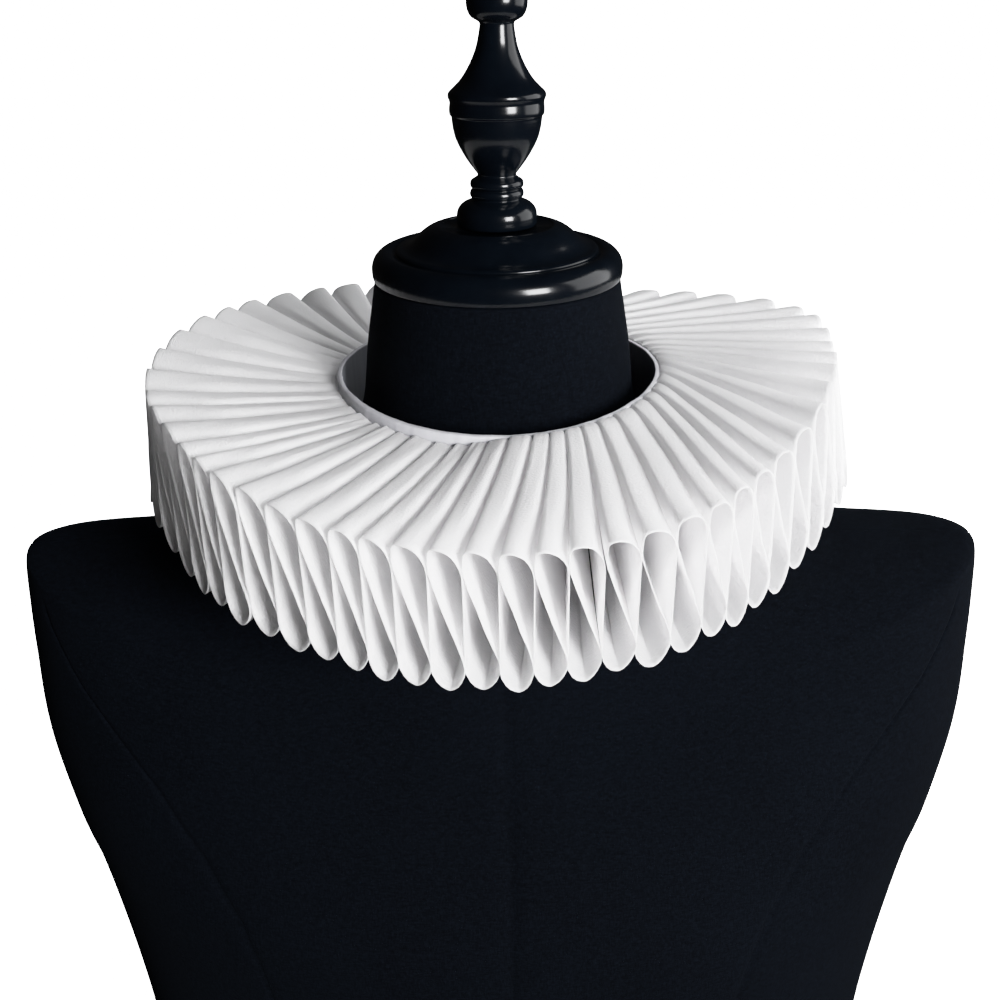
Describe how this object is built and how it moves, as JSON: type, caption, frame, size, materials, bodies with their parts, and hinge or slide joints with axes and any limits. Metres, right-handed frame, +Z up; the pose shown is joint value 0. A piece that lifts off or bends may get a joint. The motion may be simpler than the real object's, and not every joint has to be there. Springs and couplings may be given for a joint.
{
  "type": "ruff collar on a dress form",
  "caption": "White satin ruff collar with figure-eight pleats on a neckband, worn by a black limbless dress form with a neck cap and turned finial.",
  "frame": {"origin": "centre of the part's footprint, on the plane that the dress form's flat base stands on", "axes": "+Z up the neck and finial, -Y the wearer's front, +X to the right as seen from the front"},
  "size_m": [0.4296, 0.2795, 0.6094],
  "materials": {
    "white_satin": "satin weave with a soft sheen",
    "black_cloth": "matt",
    "black_lacquer": "gloss black lacquer",
    "fastening_metal": "satin"
  },
  "bodies": {
    "root": {"frill": "white_satin", "neckband": "white_satin", "hook": "fastening_metal", "eye": "fastening_metal", "form_body": "black_cloth", "form_neck": "black_cloth", "neck_cap": "black_lacquer", "finial": "black_lacquer"}
  },
  "joints": []
}
